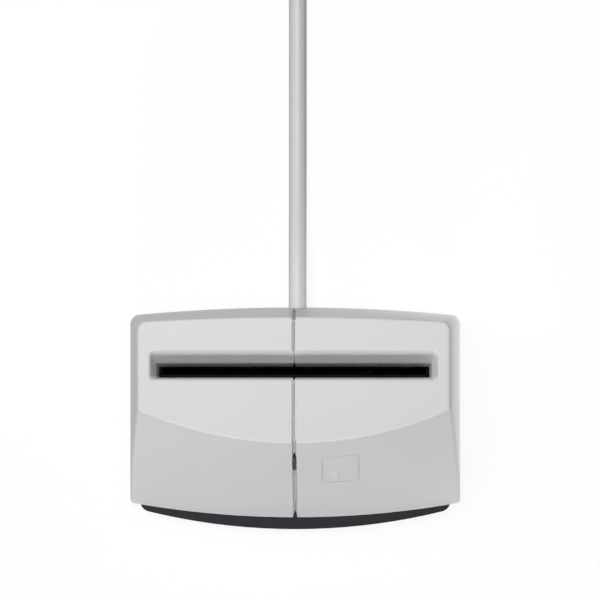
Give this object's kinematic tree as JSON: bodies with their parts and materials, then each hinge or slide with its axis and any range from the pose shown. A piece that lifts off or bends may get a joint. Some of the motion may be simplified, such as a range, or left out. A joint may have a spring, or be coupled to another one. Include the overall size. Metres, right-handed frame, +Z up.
{
  "type": "smart card reader",
  "caption": "Upright desktop smart card reader with a slot in its sloping-fronted housing, on a cable wound up to its plug.",
  "frame": {"origin": "middle of the housing's footprint, on the desk; the cable isn't counted", "axes": "+X to the reader's right as its user sees it, +Y back to the cable side, +Z up"},
  "size_m": [0.0965, 0.1722, 0.0379],
  "materials": {
    "shell": "fine grained moulding",
    "base": "fine grained moulding",
    "black": "smooth moulding",
    "rubber": "matte",
    "steel": "plated",
    "spring": "bright",
    "gold": "plated",
    "tin": "tinned",
    "can": "bright",
    "board": "solder resist",
    "chip": "moulded",
    "white": "smooth",
    "ivory": "smooth",
    "smoke": "polished",
    "wire": "smooth",
    "cable": "satin"
  },
  "bodies": {
    "reader": {"left_shell": "shell", "right_shell": "shell", "base_tray": "base", "ballast_plate": "steel", "rubber_feet": "rubber", "base_screws": "steel", "guide_front": "black", "guide_rear": "black", "carriage_spring": "spring", "switch_body": "black", "main_board": "board", "controller_chip": "chip", "chip_leads": "tin", "crystal": "tin", "capacitors": "can", "resistors": "chip", "led": "white", "light_pipe": "smoke", "board_header": "ivory", "header_pins": "gold", "wire_plug": "white", "cable_wires": "wire", "cable_end": "cable", "cable_grommet": "cable", "cable_lead": "cable", "cable_coil": "cable", "usb_overmould": "cable", "usb_shell": "steel", "usb_tongue": "white", "usb_contacts": "gold"},
    "carriage": {"contact_carriage": "black", "contact_springs": "gold"},
    "lever": {"switch_lever": "spring"}
  },
  "joints": [
    {"name": "carriage_slide", "type": "slide", "parent": "reader", "child": "carriage", "axis": [0, 0.2873, -0.9578], "range_m": [0, 0.00313], "stiffness_N_per_m": 150, "springref_m": -0.004, "deforming": ["carriage_spring"]},
    {"name": "lever_hinge", "type": "hinge", "parent": "reader", "child": "lever", "pos_m": [0.015, 0.0052, 0.0091], "axis": [-1, 0, 0], "range_deg": [0, 30], "stiffness_Nm_per_rad": 0.0002, "springref_deg": -34.38}
  ]
}
